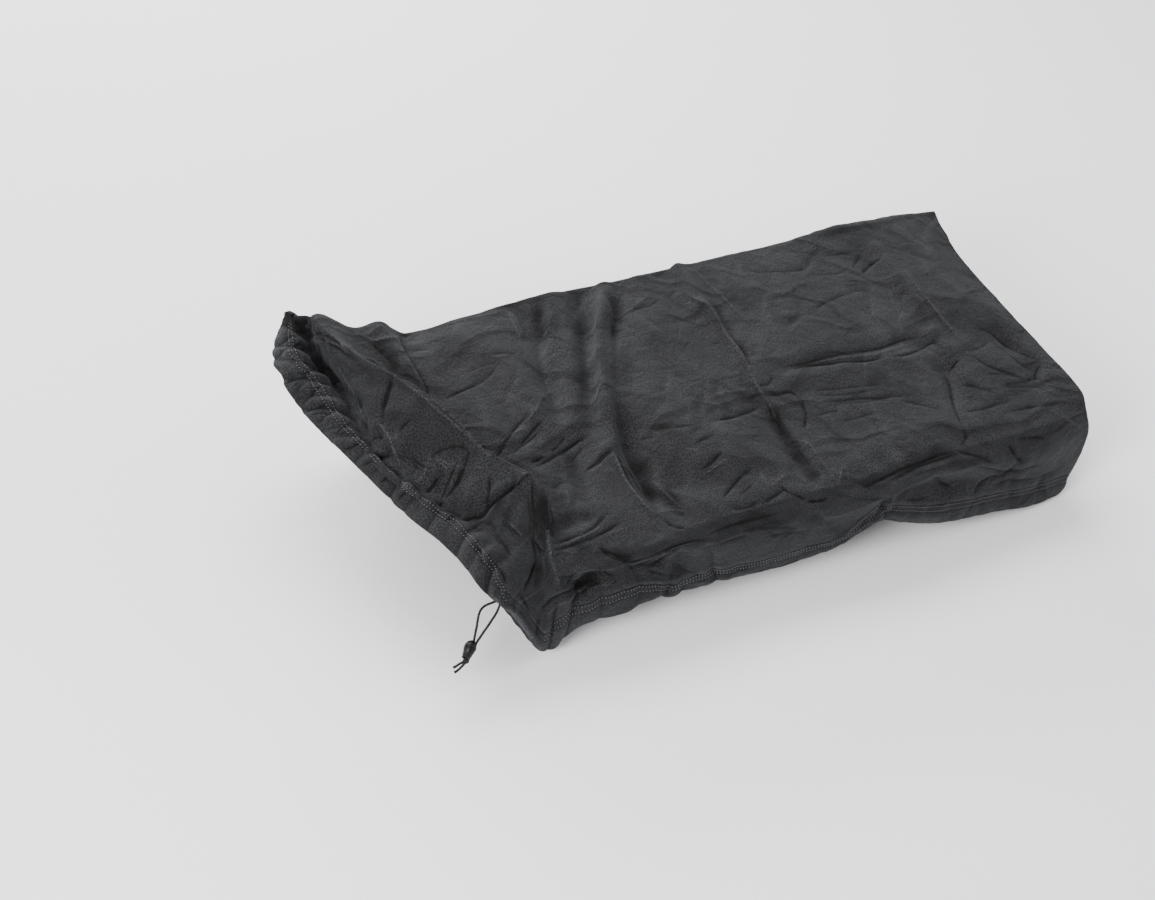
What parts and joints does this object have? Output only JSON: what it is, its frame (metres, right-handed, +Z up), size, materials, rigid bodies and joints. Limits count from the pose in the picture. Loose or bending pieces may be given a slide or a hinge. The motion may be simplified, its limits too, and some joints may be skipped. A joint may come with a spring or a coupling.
{
  "type": "fitted dust cover for a portable keyboard",
  "caption": "Fitted dust cover of thin woven cloth with sewn corners and a drawn hem, one end drawn back over the top, with a drawcord, cord lock and knot.",
  "frame": {"origin": "under the middle of the top, where the covered body carries the cloth", "axes": "+X along the cover towards its fitted end, +Y towards its back, +Z up"},
  "size_m": [0.8155, 0.4033, 0.1945],
  "materials": {
    "cloth": "charcoal black woven polyester, fine rib, faint sheen, crumpled",
    "cord": "black round braid",
    "lock": "satin black moulded plastic",
    "lock_button": "satin black moulded plastic"
  },
  "bodies": {
    "root": {"cover_cloth": "cloth", "drawcord_front": "cord", "drawcord_back": "cord", "cord_lock_barrel": "lock", "cord_lock_button": "lock_button", "cord_knot": "cord"}
  },
  "joints": []
}
